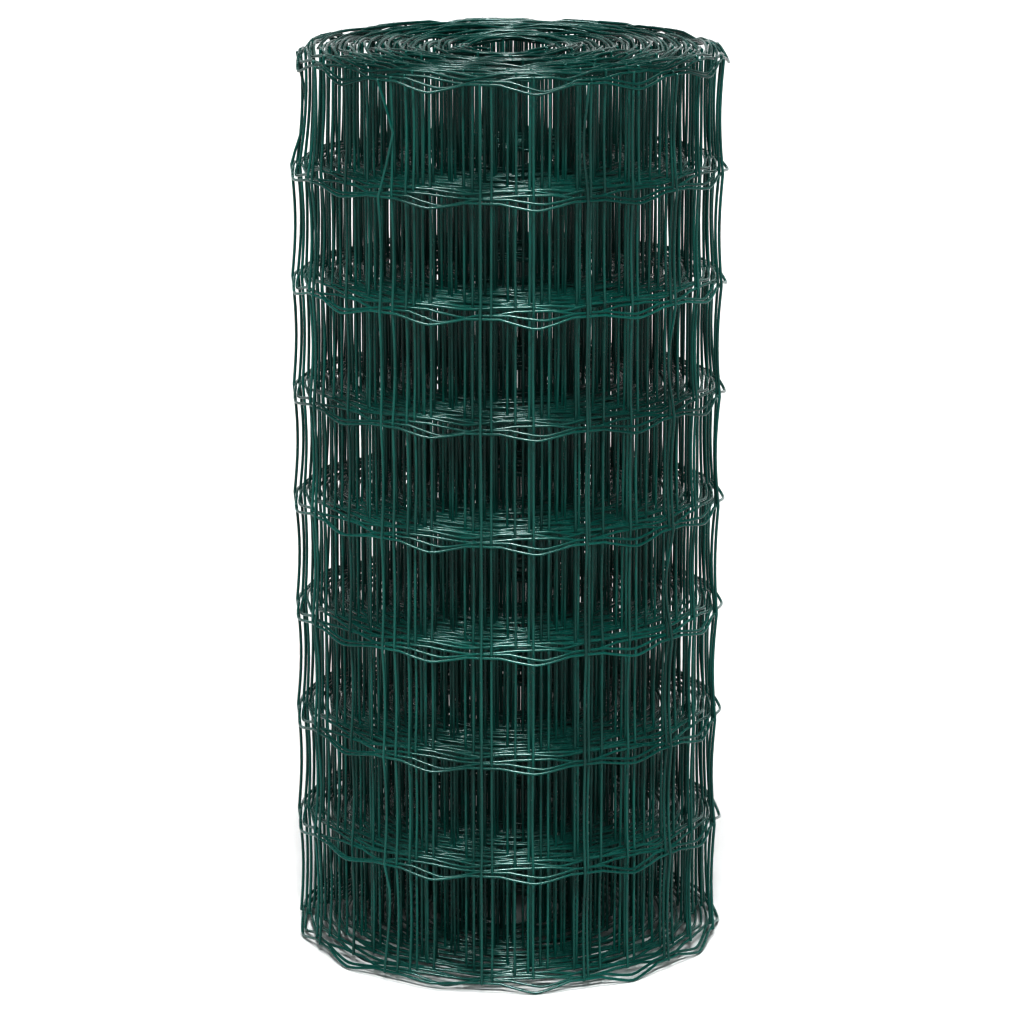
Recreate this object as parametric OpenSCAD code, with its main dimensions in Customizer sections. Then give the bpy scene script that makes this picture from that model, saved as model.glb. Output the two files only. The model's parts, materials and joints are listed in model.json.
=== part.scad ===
// Roll of plastic-coated welded wire fencing, standing on its end.
// The roll is one turned solid: its bore, the kinked line wires that stand out of its side
// as ridges, and its turns, which show on both ends as rings with gaps between them.
// The outer turns have slipped down, so the top end rises and the bottom end is hollow.
// Lengths are in millimetres. The origin is on the axis, at the foot of the outer turn.

/* [Fence] */
// Number of mesh rows up the fence
rows = 8; // [2:1:20]
// Height of one mesh row, from line wire to line wire
row_h = 100; // [50:5:150]
// Diameter of the wire over its plastic coat
wire_d = 2.5; // [1.6:0.1:4]
// How far the kinks in a line wire hang below its welds
kink_drop = 8; // [2:0.5:15]
// How far the cut uprights stand up past the top line wire
upright_stub = 0.5; // [0.5:0.5:10]

/* [Roll] */
// Diameter over the uprights of the outer turn
roll_d = 388; // [250:2:600]
// How far the outer turn's kinks stand out past its uprights
kink_reach = 3; // [0.5:0.5:10]
// Diameter of the open bore
bore_d = 70; // [30:2:120]
// Distance from one turn to the next
turn_pitch = 4.3; // [4.2:0.1:12]
// Depth of the gaps between the turns on both ends
gap_depth = 6; // [1:0.5:20]
// Number of outer turns that have slipped down, each below the one inside it
slipped_turns = 3; // [1:1:12]
// Drop from one slipped turn to the next
turn_slip = 2.5; // [0.5:0.5:5]

/* [Hidden] */
coat_green = [0.05, 0.24, 0.17];
// Facets of a full circle where the solid is drawn as a mesh
circle_facets = 180;

roll_r = roll_d / 2;
bore_r = bore_d / 2;
kink_r = roll_r + kink_reach;
gap_w = turn_pitch - wire_d;
turns = floor((roll_r - bore_r) / turn_pitch);

// The fence's own height, from the lowest point of its kinks to the tips of its uprights
fence_h = rows * row_h + wire_d + kink_drop + upright_stub;

// Turn 0 is the outer turn. A turn's place on an end is the ring that its edge wire takes up.
function turn_r(turn) = roll_r - turn * turn_pitch;
function turn_lift(turn) = min(turn, slipped_turns) * turn_slip;

// Height of the lowest point of a line wire, at its kinks. Level 0 is the bottom line wire.
function kink_z(level) = level * row_h;

// Outline of the foot, from the bore out to the outer turn: a flat ring for each turn's edge
// wire, and the gap that follows it.
function foot_rings() = [
    for (turn = [turns - 1 : -1 : 1])
        each [
            [turn_r(turn), turn_lift(turn)],
            [turn_r(turn), turn_lift(turn) + gap_depth],
            [turn_r(turn) + gap_w, turn_lift(turn) + gap_depth],
            [turn_r(turn) + gap_w, turn_lift(turn - 1)],
        ],
];

// Outline of the top end, from the outer turn in to the bore.
function top_rings() = [
    for (turn = [1 : turns - 1])
        each [
            [turn_r(turn) + gap_w, turn_lift(turn - 1) + fence_h],
            [turn_r(turn) + gap_w, turn_lift(turn - 1) + fence_h - gap_depth],
            [turn_r(turn), turn_lift(turn - 1) + fence_h - gap_depth],
            [turn_r(turn), turn_lift(turn) + fence_h],
        ],
];

// Outline of the side, from the foot up: a ridge at each line wire, where its kinks stand out.
function side_ridges() = [
    for (level = [0 : rows])
        each [
            if (level > 0) [roll_r, kink_z(level) - kink_drop],
            [kink_r, kink_z(level)],
            [kink_r, kink_z(level) + wire_d],
            [roll_r, kink_z(level) + wire_d + kink_drop],
        ],
];

// Half section of the roll, with its axis along Y
module roll_section() {
    polygon(concat(
        [[bore_r, turn_lift(turns - 1)]],
        foot_rings(),
        side_ridges(),
        [[roll_r, fence_h]],
        top_rings(),
        [[bore_r, turn_lift(turns - 1) + fence_h]]
    ));
}

module fence_roll() {
    color(coat_green)
        rotate_extrude($fn = circle_facets)
            roll_section();
}

fence_roll();
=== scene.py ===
"""Roll of plastic-coated welded wire fencing, standing on its end.

The fence is modelled flat, as it comes off the welding line, with X along it, Y out of it and Z up
it: its line wires with their kinks, its uprights and its welds. It is then rolled up round its bore.
Lengths are in metres.
"""

import json
import logging
import math
from dataclasses import dataclass, field
from enum import Enum
from typing import Any, Callable

import bmesh
import bpy
import numpy as np
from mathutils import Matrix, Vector


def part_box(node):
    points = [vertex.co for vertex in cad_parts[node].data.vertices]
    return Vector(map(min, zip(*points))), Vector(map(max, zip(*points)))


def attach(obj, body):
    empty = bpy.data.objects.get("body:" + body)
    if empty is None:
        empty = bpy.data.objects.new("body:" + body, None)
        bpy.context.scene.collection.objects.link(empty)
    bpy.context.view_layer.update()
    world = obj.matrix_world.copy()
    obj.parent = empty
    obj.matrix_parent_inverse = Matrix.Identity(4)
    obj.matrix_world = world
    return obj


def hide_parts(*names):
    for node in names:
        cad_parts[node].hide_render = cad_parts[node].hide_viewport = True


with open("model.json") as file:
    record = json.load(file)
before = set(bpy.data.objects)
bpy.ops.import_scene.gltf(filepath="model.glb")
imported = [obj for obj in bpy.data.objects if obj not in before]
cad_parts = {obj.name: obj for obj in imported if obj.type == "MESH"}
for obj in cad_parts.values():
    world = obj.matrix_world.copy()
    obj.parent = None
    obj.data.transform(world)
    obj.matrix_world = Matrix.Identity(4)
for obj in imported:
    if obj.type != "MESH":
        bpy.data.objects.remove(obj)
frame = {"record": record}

LOG = logging.getLogger("fence_roll")
NODE = "fence_roll"
BODY = "root"
MM = 0.001
FULL_TURN = 2 * math.pi
WHITE = (1.0, 1.0, 1.0, 1.0)
# How far in front of the roll's axis the camera stands.
CAMERA_BACK = 3.674
# Points nearer than this are at one place, where they are picked or merged.
NEAR = 1e-5
# A plane that comes nearer than this to a point cuts through it.
CUT_NEAR = 1e-7
# A share of a cell or row smaller than this is rounding.
ROUNDING = 1e-6

Colour = tuple[float, float, float, float]
Range = tuple[float, float]
Roller = Callable[[np.ndarray], tuple[np.ndarray, np.ndarray]]


class Axis(Enum):
    """The axis of the flat fence that a wire runs along."""

    ALONG = 0
    UP = 2


class Stretch(Enum):
    """Which stretch of the fence a piece belongs to, counted from its loose end."""

    OUTER = "outer"
    INNER = "inner"


class LineKind(Enum):
    """The two kinds of line wire: those along the fence's edges, and those between."""

    EDGE = "edge"
    BETWEEN = "between"


class BendKind(Enum):
    """The two ways an upright is bent: sharply by a knock, or evenly from weld to weld."""

    KNOCK = "knock"
    BOW = "bow"


class LampKind(Enum):
    """The two kinds of lamp: one that lights everything, and one that shows in the gloss alone."""

    FULL = "full"
    GLEAM = "gleam"


@dataclass(frozen=True)
class FenceSizes:
    """Sizes of the flat fence."""

    wire_r: float = 1.25 * MM
    rows: int = 8
    row_h: float = 100 * MM
    cell_w: float = 93 * MM
    # Kinks: how far they hang, their place and half width in shares of a cell, and how round they are.
    edge_drop: float = 8 * MM
    between_drop: float = 5.5 * MM
    kink_at_share: float = 0.52
    kink_half_share: float = 0.34
    kink_round: float = 0.02
    # From the middle of a line wire to the middle of an upright, which are pressed into each other.
    crossing: float = 1.75 * MM
    # How far uprights stop short of the edge wires' outer sides, and line wires run past the last one.
    cut_short: float = 0.3 * MM
    loose_stub: float = 4 * MM

    @property
    def weld_z(self) -> float:
        """Height of the lowest line wire's middle at its welds."""
        return self.edge_drop + self.wire_r

    @property
    def levels(self) -> int:
        """Number of line wires."""
        return self.rows + 1

    @property
    def upright_foot(self) -> float:
        """Height of an upright's lower end."""
        return self.weld_z - self.wire_r + self.cut_short

    @property
    def upright_top(self) -> float:
        """Height of an upright's upper end."""
        return self.weld_z + self.rows * self.row_h + self.wire_r - self.cut_short

    def drop_of(self, kind: LineKind) -> float:
        """How far the kinks of a kind of line wire hang."""
        return self.edge_drop if kind is LineKind.EDGE else self.between_drop

    def kink_share(self, share: np.ndarray) -> np.ndarray:
        """Shape of a kink: 1 at its lowest point, 0 outside it, with a rounded foot.

        Args:
            share: place in the cell, from 0 at one weld to 1 at the next.

        Returns:
            How much of the kink's depth applies at each place.
        """
        away = np.abs(share - self.kink_at_share) / self.kink_half_share
        rounded = np.sqrt(away**2 + self.kink_round) - math.sqrt(self.kink_round)
        full = math.sqrt(1 + self.kink_round) - math.sqrt(self.kink_round)
        return np.clip(1 - rounded / full, 0.0, 1.0)


def smooth_ramp(low: float, high: float, value: np.ndarray) -> np.ndarray:
    """Runs smoothly from 0 at low to 1 at high.

    Args:
        low: where the ramp starts.
        high: where it ends.
        value: places to read it at.

    Returns:
        The ramp's height at each place.
    """
    share = np.clip((value - low) / (high - low), 0.0, 1.0)
    return share * share * (3 - 2 * share)


def standing(angle: np.ndarray, radius: np.ndarray, height: np.ndarray) -> np.ndarray:
    """Turns angles, radii and heights into points of the standing roll.

    Args:
        angle: angles round the axis, from the front to the right.
        radius: distances from the axis.
        height: heights over the floor.

    Returns:
        The points.
    """
    return np.stack([radius * np.sin(angle), -radius * np.cos(angle), height], axis=1)


@dataclass(frozen=True)
class Bend:
    """A bend in one upright.

    It says which upright is bent and in which row, how far along the fence and out of it, where
    up the row it is strongest, and its kind.
    """

    upright: int
    row: int
    along: float
    out: float
    peak_share: float
    kind: BendKind = BendKind.BOW
    bow_power: float = 0.8

    def share_at(self, share: np.ndarray) -> np.ndarray:
        """How much of the bend applies at places up the row."""
        near = np.minimum(share / self.peak_share, (1 - share) / (1 - self.peak_share))
        return near if self.kind is BendKind.KNOCK else smooth_ramp(0, 1, near) ** self.bow_power


@dataclass(frozen=True)
class Dent:
    """A place where the top rim is pressed in.

    It says where on the rim that is, and how far it goes round, in, down and through the turns.
    """

    angle: float
    half_angle: float
    depth: float
    rows: float
    turns: float


@dataclass(frozen=True)
class Wave:
    """A slow wave in the radius.

    It says how many go round the roll, how large they are, where they start and how far they move
    on from one turn to the next.
    """

    count: int
    size: float
    start: float
    twist: float

    def at(self, angle: Any, turn: Any) -> Any:
        """The wave's height at an angle in a turn."""
        return self.size * np.sin(self.count * angle + self.start + self.twist * turn)


@dataclass(frozen=True)
class Settling:
    """How uprights settle between the others, so that little shows through the roll.

    A shift is how far an upright may move along the fence. A worth is what a column of a view
    counts when an upright covers it, where one that is still open in the front view counts 1.
    """

    front_shift: float = 8 * MM
    inner_shift: float = 10 * MM
    side_shift: float = 25 * MM
    side_turns: int = 9
    tries: int = 21
    passes: int = 3
    views: int = 8
    view_worth: float = 0.15
    back_worth: float = 0.4
    back_half: float = 150 * MM
    # What a column counts that one upright covers already, and what staying at home counts.
    thin_worth: float = 0.1
    stay_worth: float = 0.01
    column: float = 0.5 * MM
    seen_from: float = CAMERA_BACK
    # How much of an upright's bow counts where it is seen as straight.
    bow_share: float = 2 / 3


@dataclass(frozen=True)
class Slack:
    """How uneven the roll is: the usual size of each random offset, and the waves in its radius."""

    out: float = 0.3 * MM
    along: float = 0.2 * MM
    lean: float = 0.3 * MM
    up: float = 0.2 * MM
    # A whole turn's own height, after the outer turns, which are level.
    turn_up: float = 1.2 * MM
    level_turns: int = 2
    # How far kinks hang. Those of the lowest line wire only hang less, by this many times.
    drop: float = 0.9 * MM
    foot_times: float = 2.5
    bow_out: float = 0.4 * MM
    bow_along: float = 0.25 * MM
    # Waves round the roll with their sizes, and how far they may move on from turn to turn.
    waves: tuple[tuple[int, float], ...] = (
        (2, 0.7 * MM),
        (3, 0.6 * MM),
        (5, 0.4 * MM),
        (7, 0.3 * MM),
    )
    wave_twist: float = 0.25


@dataclass
class Winding:
    """How the flat fence is rolled up, from its loose outer end in to the bore.

    Angles run to the right seen from the front, from the front of the roll. Turns are counted from
    the loose end.
    """

    sizes: FenceSizes
    half_width: float
    bore_r: float
    slip: float
    settling: Settling = Settling()
    slack: Slack = Slack()
    seed: int = 14
    pitch: float = 4.3 * MM
    bore_room: float = 0.5 * MM
    loose_end: float = math.radians(-174.3)
    outer_turns: int = 5
    # Cells to a turn in the outer turns, whose uprights stand nearly behind each other, and how many
    # turns those are.
    matched_cells: float = 12.95
    matched_turns: int = 2
    # The slip: from which turn and over how many it fades in front, over how many at the back, how
    # much of it the back is spared, and from where that counts as the back.
    slip_from: float = 0.5
    slipped_turns: float = 3.0
    slipped_turns_back: float = 16.0
    held_back: float = 0.5
    back_from: float = -0.2
    # How much of a turn's lift its lowest line wire gives back.
    foot_settle: float = 0.65
    # How far kinks stand out of the outer turn and of the inner ones, which also hang less, and
    # over how many turns they change.
    outer_kink: float = 3.35 * MM
    inner_kink: float = 1.6 * MM
    inner_drop: float = 0.5
    loose_turns: float = 1.6
    # How far uprights are drawn in between the line wires, and over how many turns that fades.
    waist: float = 3.0 * MM
    waist_turns: float = 8.0
    # Line wires take their tones from the list this many places apart.
    tone_step: int = 37
    bends: tuple[Bend, ...] = (
        Bend(3, 7, 0.0, -7 * MM, 0.5),
        Bend(5, 7, 13.5 * MM, 0.0, 5 / 9, BendKind.KNOCK),
        Bend(5, 0, 4.5 * MM, 0.0, 0.76),
        Bend(7, 7, -4 * MM, 0.0, 0.5),
        Bend(8, 5, -6.5 * MM, 0.0, 0.5),
        Bend(8, 3, -6.5 * MM, 0.0, 0.5),
    )
    dent: Dent = Dent(math.radians(-80), math.radians(38), 8 * MM, 1.0, 12.0)
    waves: list[Wave] = field(init=False)
    angle: np.ndarray = field(init=False)
    turn: np.ndarray = field(init=False)
    radius: np.ndarray = field(init=False)
    lift: np.ndarray = field(init=False)
    out: np.ndarray = field(init=False)
    along: np.ndarray = field(init=False)
    up: np.ndarray = field(init=False)
    deeper: np.ndarray = field(init=False)
    bow_out: np.ndarray = field(init=False)
    bow_along: np.ndarray = field(init=False)
    tone: np.ndarray = field(init=False)

    def __post_init__(self) -> None:
        """Works out where every weld of the fence ends up."""
        rng = np.random.default_rng(self.seed)
        twist = self.slack.wave_twist
        self.waves = [
            Wave(count, size, rng.uniform(0, FULL_TURN), rng.uniform(-twist, twist))
            for count, size in self.slack.waves
        ]
        self.angle = self._settled(self._homes())
        self.turn = self._turn_at(self.angle)
        self.radius = self._radius_at(self.angle)
        self.lift = self._lifted()
        self._loosen(rng)

    @property
    def outer_r(self) -> float:
        """Radius of the line wires at the loose end."""
        return self.half_width - self.sizes.wire_r - self.outer_kink

    @property
    def inner_r(self) -> float:
        """Radius of the line wires beside the bore."""
        return self.bore_r + self.sizes.wire_r + self.bore_room

    @property
    def cells(self) -> int:
        """Number of mesh cells along the fence."""
        return len(self.angle) - 1

    @property
    def outer_cells(self) -> int:
        """Number of cells in the outer stretch."""
        return int(np.searchsorted(self.turn, self.outer_turns))

    def span(self, stretch: Stretch) -> tuple[int, int]:
        """First cell of a stretch of the fence, and its number of cells."""
        outer = self.outer_cells
        return (0, outer) if stretch is Stretch.OUTER else (outer, self.cells - outer)

    def _turn_at(self, angle: Any) -> Any:
        """Number of turns from the loose end to an angle."""
        return (angle - self.loose_end) / FULL_TURN

    def _radius_at(self, angle: Any) -> Any:
        """Radius of the line wires where the spiral has come to an angle."""
        return self.outer_r - self.pitch * self._turn_at(angle)

    def _waist_at(self, turn: Any) -> Any:
        """How far uprights are drawn in halfway between the line wires: most in the outer turns."""
        return self.waist * np.clip(1 - turn / self.waist_turns, 0.0, 1.0)

    def _wave_at(self, angle: Any) -> Any:
        """Slow waves in the radius, nearly the same in neighbouring turns."""
        turn = self._turn_at(angle)
        return sum(wave.at(angle, turn) for wave in self.waves)

    def _homes(self) -> np.ndarray:
        """Angles of the uprights before they settle.

        Returns:
            Angles a cell apart, or in the outer turns an even share of a turn apart.
        """
        angles = [self.loose_end]
        while self._radius_at(angles[-1]) > self.inner_r:
            matched = self._turn_at(angles[-1]) < self.matched_turns
            cell = self.sizes.cell_w / self._radius_at(angles[-1])
            angles.append(angles[-1] + (FULL_TURN / self.matched_cells if matched else cell))
        return np.array(angles)

    def _reach(self, home: np.ndarray) -> np.ndarray:
        """How far uprights may move round from their homes.

        Args:
            home: angles of the uprights before they settle.

        Returns:
            An angle for each upright: the largest at both sides of the outer turns.
        """
        rule, turn = self.settling, self._turn_at(home)
        shift = np.where(turn < self.matched_turns, rule.front_shift, rule.inner_shift)
        shift += np.where(turn < rule.side_turns, rule.side_shift - shift, 0.0) * np.sin(home) ** 2
        return shift / self._radius_at(home)

    def _across(self, angle: np.ndarray) -> np.ndarray:
        """Where uprights stand across the view from each side.

        Args:
            angle: angles of the uprights.

        Returns:
            A row of places for each view, the front first.
        """
        rule = self.settling
        radius = self._radius_at(angle) + self._wave_at(angle) + self.sizes.crossing
        radius -= self._waist_at(self._turn_at(angle)) * rule.bow_share
        sides = np.arange(rule.views) * FULL_TURN / rule.views
        seen = angle[None, :] - sides[:, None]
        return radius * np.sin(seen) / (1 - radius * np.cos(seen) / rule.seen_from)

    def _settled(self, home: np.ndarray) -> np.ndarray:
        """Lets the uprights inside the outermost turn settle.

        Each of them moves near its home to where the rest leave columns of the views open. The back
        half of the roll, which shows over the rim from the front, counts as one more view.

        Args:
            home: angles of the uprights before they settle.

        Returns:
            Their angles afterwards.
        """
        rule = self.settling
        reach = self._reach(home)
        ease = np.linspace(-1, 1, rule.tries)
        half = math.ceil(self.outer_r / MM) * MM
        columns = np.arange(-half, half, rule.column)
        worth = np.full((rule.views + 1, len(columns)), rule.view_worth)
        worth[0] = 1.0
        worth[-1] = rule.back_worth * (np.abs(columns) < rule.back_half)

        def taken(angle: np.ndarray) -> np.ndarray:
            """Columns that uprights take up in each view, and behind the axis in the front view."""
            hits = np.abs(columns[:, None] - self._across(angle)[:, None, :]) < self.sizes.wire_r
            return np.concatenate([hits, hits[:1] & (np.cos(angle) < 0)])

        angles = home.copy()
        cover = taken(home).sum(axis=2)
        inside = np.flatnonzero(self._turn_at(home) >= 1)
        for upright in np.tile(inside, rule.passes):
            cover -= taken(angles[upright : upright + 1])[:, :, 0]
            places = home[upright] + reach[upright] * ease
            hits = taken(places)
            wanted = worth * ((cover == 0) + rule.thin_worth * (cover == 1))
            gain = (wanted[:, :, None] * hits).sum(axis=(0, 1))
            best = int(np.argmax(gain - rule.stay_worth * np.abs(ease)))
            angles[upright] = places[best]
            cover += hits[:, :, best]
        return angles

    def _lifted(self) -> np.ndarray:
        """How far the uprights stand above the outermost turn, which has slipped down furthest.

        Returns:
            A height for each upright.
        """
        behind = smooth_ramp(self.back_from, 1.0, -np.cos(self.angle))
        front = np.clip((self.turn - self.slip_from) / self.slipped_turns, 0.0, 1.0)
        back = self.held_back + (1 - self.held_back) * self.turn / self.slipped_turns_back
        return self.slip * (front + behind * (np.clip(back, 0.0, 1.0) - front))

    def _loosen(self, rng: np.random.Generator) -> None:
        """Adds the unevenness of a real roll, at every weld and between them.

        Args:
            rng: where the random offsets come from.
        """
        slack = self.slack
        levels, rows, welds = self.sizes.levels, self.sizes.rows, len(self.angle)
        height = np.linspace(-1, 1, levels)[:, None]
        self.out = rng.normal(0, slack.out, (levels, welds)) + self._wave_at(self.angle)[None, :]
        self.out -= self._pressed()
        self.along = rng.normal(0, slack.along, (levels, welds))
        self.along += height * rng.normal(0, slack.lean, welds)[None, :]
        self.up = rng.normal(0, slack.up, (levels, welds)) + self._turns_up(rng)[None, :]
        self.up[0] = np.abs(self.up[0]) - self.foot_settle * self.lift
        self.deeper = rng.normal(0, slack.drop, (levels, welds))
        self.deeper[0] = -slack.foot_times * np.abs(self.deeper[0])
        self.bow_out = rng.normal(0, slack.bow_out, (rows, welds)) - self._waist_at(self.turn)[None, :]
        self.bow_along = rng.normal(0, slack.bow_along, (rows, welds))
        self.tone = rng.random(welds)

    def _pressed(self) -> np.ndarray:
        """How far the rim is pressed in.

        Returns:
            A depth for each level of each upright.
        """
        dent = self.dent
        away = np.abs(np.mod(self.angle - dent.angle + math.pi, FULL_TURN) - math.pi)
        across = 1 - smooth_ramp(0, dent.half_angle, away)
        through = np.clip(1 - self.turn / dent.turns, 0.0, 1.0)
        down = np.clip(1 - (self.sizes.rows - np.arange(self.sizes.levels)) / dent.rows, 0.0, 1.0)
        return dent.depth * down[:, None] * (across * through)[None, :]

    def _turns_up(self, rng: np.random.Generator) -> np.ndarray:
        """Each turn's own small rise or drop, eased from one turn to the next.

        Args:
            rng: where the random offsets come from.

        Returns:
            A height for each upright.
        """
        marks = np.arange(math.ceil(self.turn[-1]) + 2)
        steps = rng.normal(0, self.slack.turn_up, len(marks))
        steps[: self.slack.level_turns] = 0
        return np.interp(self.turn, marks, steps)

    def _loose_share(self, turn: np.ndarray) -> np.ndarray:
        """How loose the kinks of a turn are: 1 on the outer one, near 0 further in."""
        return np.exp(-np.clip(turn - 1, 0.0, None) / self.loose_turns)

    def _kink_reach(self, turn: np.ndarray) -> np.ndarray:
        """How far kinks stand out of a turn: fully on the outer one, pressed flat further in."""
        return self.inner_kink + (self.outer_kink - self.inner_kink) * self._loose_share(turn)

    def _kink_rise(self, turn: np.ndarray, level: np.ndarray) -> np.ndarray:
        """How much less kinks hang than those of the flat fence.

        Args:
            turn: the turn that each kink is in.
            level: its line wire, counted from the bottom.

        Returns:
            A height for each kink.
        """
        edge = (level == 0) | (level == self.sizes.rows)
        drop = np.where(edge, self.sizes.edge_drop, self.sizes.between_drop)
        return drop * (1 - self.inner_drop) * (1 - self._loose_share(turn))

    def roll_line(self, flat: np.ndarray) -> tuple[np.ndarray, np.ndarray]:
        """Rolls up points of the line wires.

        Args:
            flat: points of the flat fence.

        Returns:
            The rolled points, and each one's tone.
        """
        s = self.sizes
        place = flat[:, 0] / s.cell_w
        weld = np.clip(np.floor(place + ROUNDING), 0, self.cells - 1).astype(int)
        share = place - weld
        level = np.rint((flat[:, 2] - s.weld_z) / s.row_h).astype(int)

        def between(values: np.ndarray) -> np.ndarray:
            """Reads values that are given at the welds, part of the way along a cell."""
            return values[weld] + share * (values[weld + 1] - values[weld])

        def joint(values: np.ndarray) -> np.ndarray:
            """The same for values that each level has of its own."""
            return values[level, weld] + share * (values[level, weld + 1] - values[level, weld])

        turn = between(self.turn)
        kink = s.kink_share(share)
        radius = between(self.radius) + joint(self.out) + flat[:, 1] + self._kink_reach(turn) * kink
        angle = between(self.angle) + joint(self.along) / radius
        height = flat[:, 2] + between(self.lift) + joint(self.up)
        height += (self._kink_rise(turn, level) - self.deeper[level, weld]) * kink
        return standing(angle, radius, height), self.tone[(level * self.tone_step) % len(self.tone)]

    def roll_fixed(self, flat: np.ndarray) -> tuple[np.ndarray, np.ndarray]:
        """Rolls up points of what stands at the welds: the uprights and the welds themselves.

        Args:
            flat: points of the flat fence.

        Returns:
            The rolled points, and each one's tone.
        """
        s = self.sizes
        weld = np.clip(np.rint(flat[:, 0] / s.cell_w), 0, self.cells).astype(int)
        beside = flat[:, 0] - weld * s.cell_w
        place = np.clip((flat[:, 2] - s.weld_z) / s.row_h, 0, s.rows)
        row = np.minimum(np.floor(place + ROUNDING), s.rows - 1).astype(int)
        share = place - row

        def joint(values: np.ndarray) -> np.ndarray:
            """Reads values that are given at the welds, part of the way up a row."""
            return values[row, weld] + share * (values[row + 1, weld] - values[row, weld])

        bow = np.sin(math.pi * share)
        out = joint(self.out) + self.bow_out[row, weld] * bow
        along = joint(self.along) + self.bow_along[row, weld] * bow
        for bend in self.bends:
            here = (weld == bend.upright) & (row == bend.row)
            bent = np.where(here, bend.share_at(share), 0.0)
            along += bend.along * bent
            out += bend.out * bent
        radius = self.radius[weld] + out + flat[:, 1]
        angle = self.angle[weld] + (along + beside) / radius
        height = flat[:, 2] + self.lift[weld] + joint(self.up)
        return standing(angle, radius, height), self.tone[weld]


def object_mode_clear() -> None:
    """Leaves edit mode and deselects every object."""
    active = bpy.context.view_layer.objects.active
    if active is not None and active.mode != "OBJECT":
        bpy.ops.object.mode_set(mode="OBJECT")
    bpy.ops.object.select_all(action="DESELECT")


def take(piece: bpy.types.Object) -> None:
    """Makes one object the only selected and the active one.

    Args:
        piece: the object.
    """
    object_mode_clear()
    piece.select_set(True)
    bpy.context.view_layer.objects.active = piece


def select_points(piece: bpy.types.Object, wanted: Callable[[Vector], bool]) -> None:
    """Selects points of the mesh in edit mode by their place.

    Args:
        piece: the object in edit mode.
        wanted: says of a point whether it is selected.
    """
    bpy.ops.mesh.select_all(action="DESELECT")
    mesh = bmesh.from_edit_mesh(piece.data)
    for vert in mesh.verts:
        vert.select_set(wanted(vert.co))
    mesh.select_flush(True)
    bmesh.update_edit_mesh(piece.data)


def straight_wire(
    name: str, axis: Axis, start: float, end: float, radius: float, sides: int, capped: bool
) -> bpy.types.Object:
    """Adds a straight wire along one axis of the flat fence.

    Args:
        name: the object's name.
        axis: the axis that it runs along.
        start: where it starts on that axis.
        end: where it ends.
        radius: the wire's radius; its section keeps the girth of that circle.
        sides: number of sides of its section.
        capped: whether its ends are closed.

    Returns:
        The wire's object, with its place in its mesh.
    """
    object_mode_clear()
    middle = Vector((0, 0, 0))
    middle[axis.value] = (start + end) / 2
    bpy.ops.mesh.primitive_cylinder_add(
        vertices=sides,
        radius=radius * (math.pi / sides) / math.sin(math.pi / sides),
        depth=end - start,
        end_fill_type="NGON" if capped else "NOTHING",
        location=middle,
        rotation=(0, math.pi / 2, 0) if axis is Axis.ALONG else (0, 0, 0),
    )
    piece = bpy.context.object
    piece.name = piece.data.name = name
    bpy.ops.object.transform_apply(location=True, rotation=True, scale=True)
    return piece


def cut_rings(piece: bpy.types.Object, axis: Axis, places: list[float]) -> None:
    """Cuts a wire into rings, so that it can be bent.

    Args:
        piece: the wire, which is left in edit mode.
        axis: the axis that it runs along.
        places: where on that axis it is cut.
    """
    take(piece)
    bpy.ops.object.mode_set(mode="EDIT")
    normal = [0.0, 0.0, 0.0]
    normal[axis.value] = 1.0
    for place in places:
        bpy.ops.mesh.select_all(action="SELECT")
        bpy.ops.mesh.bisect(plane_co=[place * n for n in normal], plane_no=normal, threshold=CUT_NEAR)


def repeat(piece: bpy.types.Object, count: int, step: tuple[float, float, float], merge: bool) -> None:
    """Repeats a mesh in a row, and applies the repeat.

    Args:
        piece: the object to repeat.
        count: number of copies in all.
        step: from one copy to the next.
        merge: whether copies that meet become one mesh.
    """
    take(piece)
    bpy.ops.object.modifier_add(type="ARRAY")
    row = piece.modifiers[-1]
    row.count = count
    row.use_relative_offset = False
    row.use_constant_offset = True
    row.constant_offset_displace = step
    row.use_merge_vertices = merge
    row.merge_threshold = NEAR
    bpy.ops.object.modifier_apply(modifier=row.name)


def join_pieces(pieces: list[bpy.types.Object], name: str) -> bpy.types.Object:
    """Joins meshes into one object.

    Args:
        pieces: the objects to join.
        name: the joined object's name.

    Returns:
        The joined object.
    """
    object_mode_clear()
    for piece in pieces:
        piece.select_set(True)
    bpy.context.view_layer.objects.active = pieces[0]
    bpy.ops.object.join()
    joined = bpy.context.object
    joined.name = joined.data.name = name
    return joined


def roll_up(piece: bpy.types.Object, roll: Roller, sharp: float) -> None:
    """Rolls up a flat piece, keeps each wire's tone on its points and shades it smooth.

    Args:
        piece: the flat object.
        roll: turns flat points into rolled points and tones.
        sharp: edges over this angle, in degrees, stay sharp.
    """
    mesh = piece.data
    flat = np.empty(len(mesh.vertices) * 3)
    mesh.vertices.foreach_get("co", flat)
    rolled, tone = roll(flat.reshape(-1, 3))
    mesh.vertices.foreach_set("co", rolled.ravel())
    mark = mesh.attributes.new("wire_tone", "FLOAT", "POINT")
    mark.data.foreach_set("value", tone.astype(np.float32))
    mesh.update()
    take(piece)
    bpy.ops.object.shade_smooth_by_angle(angle=math.radians(sharp))


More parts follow.
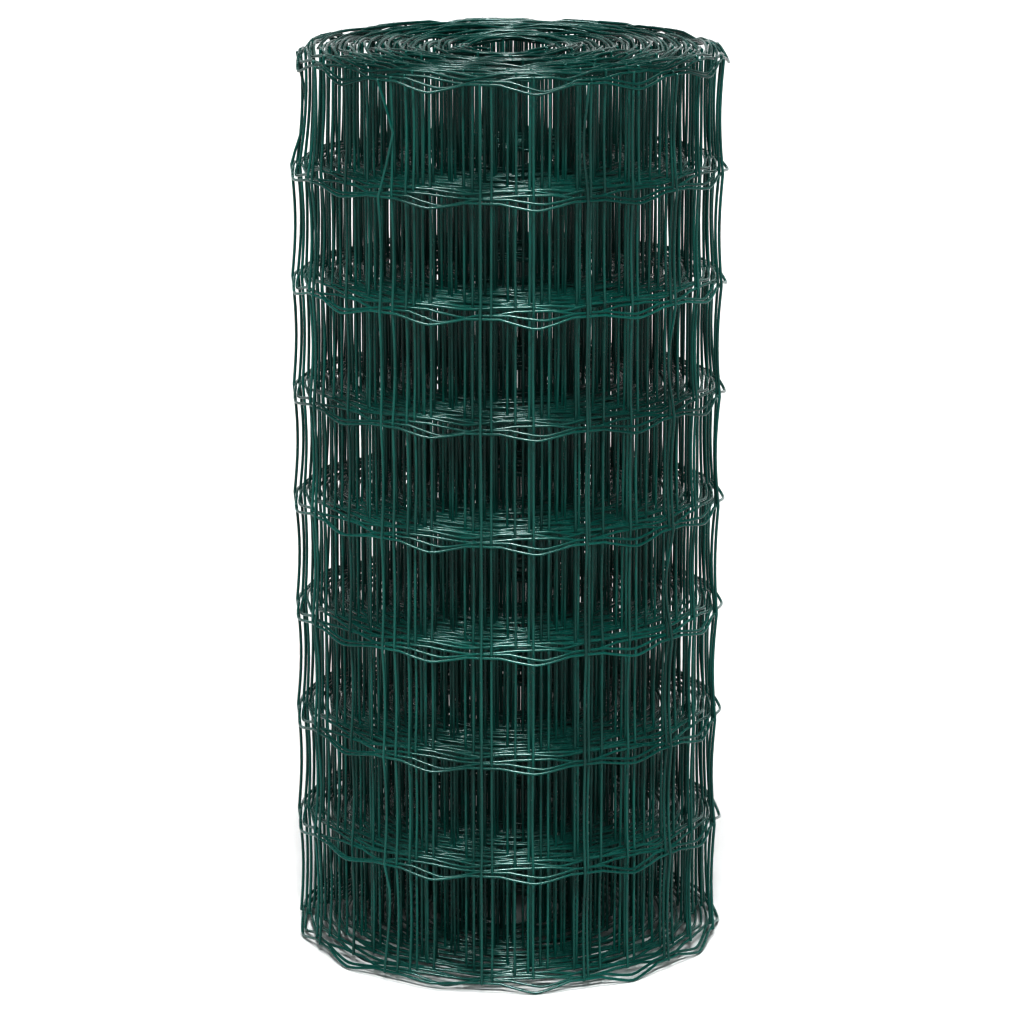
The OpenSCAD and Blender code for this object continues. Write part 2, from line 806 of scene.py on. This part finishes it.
@dataclass
class LineWires:
    """The wires that run round the roll, each with a kink in every cell."""

    sizes: FenceSizes
    winding: Winding
    sharp: float = 75
    sides: dict[Stretch, int] = field(default_factory=lambda: {Stretch.OUTER: 10, Stretch.INNER: 6})
    # Where a cell is cut into rings, in shares of its width: closest at the foot of its kink.
    rings: dict[Stretch, tuple[float, ...]] = field(
        default_factory=lambda: {
            Stretch.OUTER: (
                0.09, 0.18, 0.24, 0.32, 0.41, 0.47, 0.52, 0.57, 0.63, 0.72, 0.80, 0.86, 0.93,
            ),
            Stretch.INNER: (0.10, 0.18, 0.34, 0.46, 0.52, 0.58, 0.70, 0.86, 0.93),
        }
    )

    def build(self, name: str, stretch: Stretch, levels: range) -> bpy.types.Object:
        """Models some of the line wires over one stretch of the fence, and rolls them up.

        Args:
            name: the piece's name.
            stretch: the stretch of the fence.
            levels: the line wires, counted from the bottom.

        Returns:
            The finished piece.
        """
        kinds = {kind: self._flat_wire(f"{name}_{kind.value}", kind, stretch) for kind in LineKind}
        copies = [self._copy(kinds[self._kind_of(level)], level) for level in levels]
        for spare in kinds.values():
            bpy.data.meshes.remove(spare.data)
        piece = join_pieces(copies, name)
        roll_up(piece, self.winding.roll_line, self.sharp)
        return piece

    def _kind_of(self, level: int) -> LineKind:
        """Whether a line wire is one of the fence's edges."""
        return LineKind.EDGE if level in (0, self.sizes.rows) else LineKind.BETWEEN

    def _flat_wire(self, name: str, kind: LineKind, stretch: Stretch) -> bpy.types.Object:
        """Models one cell of a wire with its kink, and repeats it along the fence.

        Args:
            name: the wire's name.
            kind: edge wire or not.
            stretch: the stretch of the fence.

        Returns:
            The flat wire, at the height of the lowest one.
        """
        s = self.sizes
        first, count = self.winding.span(stretch)
        start = first * s.cell_w
        next_weld = start + s.cell_w
        places = [start + share * s.cell_w for share in self.rings[stretch]]
        wire = straight_wire(
            name, Axis.ALONG, start, next_weld, s.wire_r, sides=self.sides[stretch], capped=False
        )
        cut_rings(wire, Axis.ALONG, places)
        for share, place in zip(self.rings[stretch], places):
            drop = s.drop_of(kind) * float(s.kink_share(np.array(share)))
            select_points(wire, lambda co, x=place: abs(co.x - x) < NEAR)
            bpy.ops.transform.translate(value=(0, 0, s.weld_z - drop))
        for end in (start, next_weld):
            select_points(wire, lambda co, x=end: abs(co.x - x) < NEAR)
            bpy.ops.transform.translate(value=(0, 0, s.weld_z))
        repeat(wire, count, (s.cell_w, 0, 0), merge=True)
        self._close_ends(wire, start, start + count * s.cell_w, stretch)
        return wire

    def _close_ends(self, wire: bpy.types.Object, start: float, end: float, stretch: Stretch) -> None:
        """Lengthens the fence's own end by a stub, and closes the wire.

        Args:
            wire: the flat wire.
            start: where it starts along the fence.
            end: where it ends.
            stretch: the stretch of the fence, which says which of the two is the fence's own end.
        """
        take(wire)
        bpy.ops.object.mode_set(mode="EDIT")
        loose, stub = (start, -1) if stretch is Stretch.OUTER else (end, 1)
        select_points(wire, lambda co: abs(co.x - loose) < NEAR)
        bpy.ops.transform.translate(value=(stub * self.sizes.loose_stub, 0, 0))
        bpy.ops.mesh.select_all(action="SELECT")
        bpy.ops.mesh.fill_holes(sides=0)
        bpy.ops.object.mode_set(mode="OBJECT")

    def _copy(self, wire: bpy.types.Object, level: int) -> bpy.types.Object:
        """Copies a flat wire to its level, with a mesh of its own.

        Args:
            wire: the flat wire.
            level: the level, counted from the bottom.

        Returns:
            The copy.
        """
        take(wire)
        bpy.ops.object.duplicate(linked=False)
        copy = bpy.context.object
        bpy.ops.transform.translate(value=(0, 0, level * self.sizes.row_h))
        bpy.ops.object.transform_apply(location=True, rotation=True, scale=True)
        return copy


@dataclass
class Uprights:
    """The wires that stand up the fence, welded on the outside of the line wires."""

    sizes: FenceSizes
    winding: Winding
    sharp: float = 75
    tip_round: float = 0.6 * MM
    tip_steps: int = 2
    sides: dict[Stretch, int] = field(default_factory=lambda: {Stretch.OUTER: 10, Stretch.INNER: 8})
    # Rings to a row.
    steps: dict[Stretch, int] = field(default_factory=lambda: {Stretch.OUTER: 9, Stretch.INNER: 4})

    def build(self, name: str, stretch: Stretch) -> bpy.types.Object:
        """Models one upright, repeats it along a stretch of the fence and rolls them up.

        Args:
            name: the piece's name.
            stretch: the stretch of the fence.

        Returns:
            The finished piece.
        """
        s = self.sizes
        first, count = self.winding.span(stretch)
        if stretch is Stretch.INNER:
            count += 1  # the last upright, which ends the fence
        piece = straight_wire(
            name, Axis.UP, s.upright_foot, s.upright_top, s.wire_r, sides=self.sides[stretch], capped=True
        )
        self._round_tips(piece)
        steps = self.steps[stretch] * s.rows
        cut_rings(piece, Axis.UP, [s.weld_z + s.rows * s.row_h * i / steps for i in range(steps + 1)])
        bpy.ops.mesh.select_all(action="SELECT")
        bpy.ops.transform.translate(value=(first * s.cell_w, s.crossing, 0))
        bpy.ops.object.mode_set(mode="OBJECT")
        repeat(piece, count, (s.cell_w, 0, 0), merge=False)
        roll_up(piece, self.winding.roll_fixed, self.sharp)
        return piece

    def _round_tips(self, piece: bpy.types.Object) -> None:
        """Rounds the coat over both cut ends.

        Args:
            piece: the straight upright, which is left in edit mode.
        """
        take(piece)
        bpy.ops.object.mode_set(mode="EDIT")
        bpy.ops.mesh.select_mode(type="VERT")
        for tip in (self.sizes.upright_foot, self.sizes.upright_top):
            select_points(piece, lambda co, z=tip: abs(co.z - z) < NEAR)
            bpy.ops.mesh.bevel(offset=self.tip_round, segments=self.tip_steps, affect="EDGES")


@dataclass
class Welds:
    """The coat's small swellings where the wires cross."""

    sizes: FenceSizes
    winding: Winding
    half: tuple[float, float, float] = (1.7 * MM, 1.9 * MM, 1.4 * MM)
    sides: int = 6
    rings: int = 4
    sharp: float = 120

    def build(self, name: str) -> bpy.types.Object:
        """Models one weld, repeats it along and up the fence and rolls them up.

        Args:
            name: the piece's name.

        Returns:
            The finished piece.
        """
        s = self.sizes
        object_mode_clear()
        bpy.ops.mesh.primitive_uv_sphere_add(
            segments=self.sides, ring_count=self.rings, radius=1, location=(0, 0, 0)
        )
        piece = bpy.context.object
        piece.name = piece.data.name = name
        bpy.ops.object.mode_set(mode="EDIT")
        bpy.ops.mesh.select_all(action="SELECT")
        bpy.ops.transform.resize(value=self.half)
        bpy.ops.transform.translate(value=(0, s.crossing / 2, s.weld_z))
        bpy.ops.object.mode_set(mode="OBJECT")
        repeat(piece, s.levels, (0, 0, s.row_h), merge=False)
        repeat(piece, self.winding.cells + 1, (s.cell_w, 0, 0), merge=False)
        roll_up(piece, self.winding.roll_fixed, self.sharp)
        return piece


class Shade:
    """A value in a finish. Arithmetic on it adds Math nodes."""

    def __init__(self, book: "NodeBook", socket: bpy.types.NodeSocket) -> None:
        """Wraps an output socket of a node in the book."""
        self.book = book
        self.socket = socket

    def _maths(self, operation: str, first: Any, second: Any) -> "Shade":
        """Adds one Math node."""
        return self.book.node("ShaderNodeMath", {"operation": operation}, {0: first, 1: second})

    def __add__(self, other: Any) -> "Shade":
        """self + other"""
        return self._maths("ADD", self, other)

    def __radd__(self, other: Any) -> "Shade":
        """other + self"""
        return self._maths("ADD", other, self)

    def __rsub__(self, other: Any) -> "Shade":
        """other - self"""
        return self._maths("SUBTRACT", other, self)

    def __mul__(self, other: Any) -> "Shade":
        """self * other"""
        return self._maths("MULTIPLY", self, other)

    def __rmul__(self, other: Any) -> "Shade":
        """other * self"""
        return self._maths("MULTIPLY", other, self)


@dataclass(frozen=True)
class Grain:
    """A noise pattern: how many waves it has to a metre, and how many layers of finer ones."""

    waves: float
    detail: float


class NodeBook:
    """The nodes of one finish, or of the sky."""

    def __init__(self, owner: bpy.types.ID) -> None:
        """Clears the nodes of a material or world."""
        self.owner = owner
        owner.use_nodes = True
        self.tree = owner.node_tree
        self.tree.nodes.clear()

    def _add(self, kind: str, settings: dict[str, Any], sockets: dict[Any, Any]) -> bpy.types.Node:
        """Adds a node of any kind.

        Args:
            kind: the node's type.
            settings: its own settings.
            sockets: a value or a link for each input, by name or number.

        Returns:
            The node.
        """
        made = self.tree.nodes.new(kind)
        for key, value in settings.items():
            setattr(made, key, value)
        for key, value in sockets.items():
            if isinstance(value, Shade):
                self.tree.links.new(value.socket, made.inputs[key])
            else:
                made.inputs[key].default_value = value
        return made

    def node(
        self, kind: str, settings: dict[str, Any], sockets: dict[Any, Any], output: Any = 0
    ) -> Shade:
        """Adds a node and reads one of its outputs, by name or number."""
        return Shade(self, self._add(kind, settings, sockets).outputs[output])

    def finished(self, shader: Shade) -> bpy.types.ID:
        """Puts a shader on the surface.

        Args:
            shader: the shader.

        Returns:
            The material or world that the nodes belong to.
        """
        of_world = isinstance(self.owner, bpy.types.World)
        kind = "ShaderNodeOutputWorld" if of_world else "ShaderNodeOutputMaterial"
        self._add(kind, {}, {"Surface": shader})
        return self.owner

    def mix(self, share: Any, first: Any, second: Any) -> Shade:
        """Mixes two colours, from the first at 0 to the second at 1."""
        settings = {"data_type": "RGBA", "blend_type": "MIX"}
        # Inputs 6 and 7 and output 2 are the colours of this node.
        return self.node("ShaderNodeMix", settings, {0: share, 6: first, 7: second}, 2)

    def ramp(self, value: Shade, low: float, high: float) -> Shade:
        """Runs from 0 where the value is low to 1 where it is high."""
        sockets = {"Value": value, "From Min": low, "From Max": high}
        return self.node("ShaderNodeMapRange", {"interpolation_type": "SMOOTHSTEP"}, sockets)

    def noise(self, place: Shade, grain: Grain) -> Shade:
        """Adds a noise pattern."""
        sockets = {"Vector": place, "Scale": grain.waves, "Detail": grain.detail}
        return self.node("ShaderNodeTexNoise", {"noise_dimensions": "3D"}, sockets, "Fac")

    def part(self, vector: Shade, axis: str) -> Shade:
        """Reads one part of a vector: X, Y or Z."""
        return self.node("ShaderNodeSeparateXYZ", {}, {0: vector}, axis)


@dataclass(frozen=True)
class CoatFinish:
    """Glossy dark green plastic coat of the wire.

    Each wire has its own tone and the coat has paler patches. Dust lies where it faces up, spots are
    rubbed dull, and its skin is a little uneven. A range says where a pattern starts and is full.
    """

    deep: Colour = (0.003, 0.052, 0.044, 1)
    fresh: Colour = (0.005, 0.125, 0.104, 1)
    dust: Colour = (0.08, 0.12, 0.11, 1)
    roughness: float = 0.14
    specular: float = 0.5
    patches: Grain = Grain(14, 3)
    patch_range: Range = (0.35, 0.65)
    tone_share: float = 0.55
    mottle: Grain = Grain(160, 4)
    mottle_dull: float = 0.10
    facing_range: Range = (0.2, 0.95)
    dust_range: Range = (0.45, 0.8)
    dust_on_patches: float = 0.25
    dust_share: float = 0.22
    dust_dull: float = 0.10
    rubs: Grain = Grain(420, 3)
    rub_range: Range = (0.64, 0.72)
    rub_share: float = 0.12
    rub_dull: float = 0.12
    skin: Grain = Grain(900, 2)
    skin_strength: float = 0.12
    skin_depth: float = 0.2 * MM

    def material(self) -> bpy.types.Material:
        """Makes the finish.

        Returns:
            The material.
        """
        book = NodeBook(bpy.data.materials.new("plastic_coat"))
        place = book.node("ShaderNodeTexCoord", {}, {}, "Object")
        tone = book.node("ShaderNodeAttribute", {"attribute_name": "wire_tone"}, {}, "Fac")
        up = book.part(book.node("ShaderNodeNewGeometry", {}, {}, "Normal"), "Z")
        patches = book.ramp(book.noise(place, self.patches), *self.patch_range)
        mottle = book.noise(place, self.mottle)
        lying = book.ramp(mottle + self.dust_on_patches * patches, *self.dust_range)
        lying = book.ramp(up, *self.facing_range) * lying
        rubbed = book.ramp(book.noise(place, self.rubs), *self.rub_range)
        fresh_share = self.tone_share * tone + (1 - self.tone_share) * patches
        colour = book.mix(fresh_share, self.deep, self.fresh)
        colour = book.mix(self.dust_share * lying + self.rub_share * rubbed, colour, self.dust)
        roughness = self.roughness + self.mottle_dull * mottle
        roughness += self.rub_dull * rubbed + self.dust_dull * lying
        skin = {
            "Strength": self.skin_strength,
            "Distance": self.skin_depth,
            "Height": book.noise(place, self.skin),
        }
        coat = {
            "Base Color": colour,
            "Roughness": roughness,
            "Normal": book.node("ShaderNodeBump", {}, skin, "Normal"),
            "Specular IOR Level": self.specular,
        }
        return book.finished(book.node("ShaderNodeBsdfPrincipled", {}, coat))


@dataclass(frozen=True)
class Lamp:
    """A soft lamp: how far round to the right and how high it stands, its power, spread and kind.

    Angles are in degrees.
    """

    name: str
    round: float
    height: float
    power: float
    spread: float
    kind: LampKind = LampKind.FULL


@dataclass
class Studio:
    """Pale floor, soft light and the camera.

    Ranges of the sky are parts of a unit vector: how far up, or how far to the back.
    """

    floor_size: float = 80.0
    floor_colour: Colour = (0.78, 0.78, 0.78, 1)
    floor_roughness: float = 0.9
    sky_low: float = 0.2
    sky_high: float = 0.06
    sky_range: Range = (0.0, 0.5)
    backdrop: float = 1.1
    backdrop_back: Range = (0.3, 0.6)
    backdrop_top: Range = (0.25, 0.5)
    gamma: float = 0.66
    lamps: tuple[Lamp, ...] = (
        Lamp("key_front", 1, 43, 3.6, 9),
        Lamp("top_front", -12, 70, 1.1, 6),
        Lamp("top_right", 25, 74, 0.8, 6),
        Lamp("gleam_left_near", -44, 45, 1.5, 7, LampKind.GLEAM),
        Lamp("gleam_left", -52, 45, 1.5, 7, LampKind.GLEAM),
        Lamp("gleam_left_far", -60, 45, 1.5, 7, LampKind.GLEAM),
        Lamp("gleam_right_near", 10, 45, 1.3, 7, LampKind.GLEAM),
        Lamp("gleam_right", 17, 45, 1.3, 7, LampKind.GLEAM),
        Lamp("back", 178, 52, 0.5, 9),
    )
    camera_place: tuple[float, float, float] = (0.0020, -CAMERA_BACK, 1.346)
    camera_pitch: float = math.radians(14.56)
    lens_mm: float = 147.4
    sensor_mm: float = 36
    sees_to: float = 200

    def build(self) -> None:
        """Adds everything that isn't part of the object."""
        self._floor()
        self._sky()
        for lamp in self.lamps:
            self._light(lamp)
        self._camera()

    def _floor(self) -> None:
        """Adds the floor that the roll stands on."""
        object_mode_clear()
        bpy.ops.mesh.primitive_plane_add(size=self.floor_size, location=(0, 0, 0))
        floor = bpy.context.object
        floor.name = floor.data.name = "floor"
        book = NodeBook(bpy.data.materials.new("floor_pale"))
        sockets = {"Base Color": self.floor_colour, "Roughness": self.floor_roughness}
        shader = book.node("ShaderNodeBsdfPrincipled", {}, sockets)
        floor.data.materials.append(book.finished(shader))

    def _sky(self) -> None:
        """Sets a pale light all round, palest near the floor, and a pale backdrop behind the roll."""
        book = NodeBook(bpy.data.worlds.new("studio"))
        place = book.node("ShaderNodeTexCoord", {}, {}, "Generated")
        up, behind = book.part(place, "Z"), book.part(place, "Y")
        strength = self.sky_low + (self.sky_high - self.sky_low) * book.ramp(up, *self.sky_range)
        below = 1 - book.ramp(up, *self.backdrop_top)
        strength += self.backdrop * book.ramp(behind, *self.backdrop_back) * below
        sky = book.node("ShaderNodeBackground", {}, {"Color": WHITE, "Strength": strength})
        bpy.context.scene.world = book.finished(sky)
        bpy.context.scene.view_settings.view_transform = "Standard"
        bpy.context.scene.view_settings.gamma = self.gamma

    def _light(self, lamp: Lamp) -> None:
        """Adds one light.

        Args:
            lamp: the lamp.
        """
        sun = bpy.data.lights.new(lamp.name, "SUN")
        sun.energy = lamp.power
        sun.angle = math.radians(lamp.spread)
        holder = bpy.data.objects.new(lamp.name, sun)
        holder.rotation_euler = (math.radians(90 - lamp.height), 0, math.radians(lamp.round))
        holder.visible_diffuse = lamp.kind is LampKind.FULL
        bpy.context.collection.objects.link(holder)

    def _camera(self) -> None:
        """Adds the camera, in front of the roll and a little above it."""
        lens = bpy.data.cameras.new("camera")
        lens.lens = self.lens_mm
        lens.sensor_width = self.sensor_mm
        lens.clip_end = self.sees_to
        camera = bpy.data.objects.new("camera", lens)
        camera.location = self.camera_place
        camera.rotation_euler = (math.pi / 2 - self.camera_pitch, 0, 0)
        bpy.context.collection.objects.link(camera)
        bpy.context.scene.camera = camera


def bore_place() -> tuple[float, float]:
    """Radius of the roll's bore and height of its foot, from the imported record."""
    bore = next(m for m in frame["record"]["mounts"] if m["name"] == "bore")
    return bore["dims"]["r_mm"] * MM, bore["pos_m"][2] - bore["dims"]["length_mm"] * MM / 2


def build_roll() -> list[bpy.types.Object]:
    """Models the fence and rolls it up.

    Returns:
        The roll's pieces.
    """
    low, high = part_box(NODE)
    bore_r, bore_foot = bore_place()
    sizes = FenceSizes()
    winding = Winding(sizes, half_width=(high.x - low.x) / 2, bore_r=bore_r, slip=bore_foot)
    lines = LineWires(sizes, winding)
    uprights = Uprights(sizes, winding)
    half = sizes.levels // 2
    pieces = [
        lines.build("line_wires_outer", Stretch.OUTER, range(sizes.levels)),
        lines.build("line_wires_inner_low", Stretch.INNER, range(half)),
        lines.build("line_wires_inner_high", Stretch.INNER, range(half, sizes.levels)),
        uprights.build("uprights_outer", Stretch.OUTER),
        uprights.build("uprights_inner", Stretch.INNER),
        Welds(sizes, winding).build("welds"),
    ]
    LOG.info("%d cells in %.1f turns", winding.cells, winding.turn[-1])
    return pieces


def main() -> None:
    """Builds the roll and the studio."""
    logging.basicConfig(level=logging.INFO, format="%(name)s: %(message)s")
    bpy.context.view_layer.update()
    coat = CoatFinish().material()
    for piece in build_roll():
        piece.data.materials.clear()
        piece.data.materials.append(coat)
        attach(piece, BODY)
        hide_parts(NODE)
        piece.data.calc_loop_triangles()
        LOG.info("%s: %d triangles", piece.name, len(piece.data.loop_triangles))
    Studio().build()


if __name__ == "__main__":
    main()
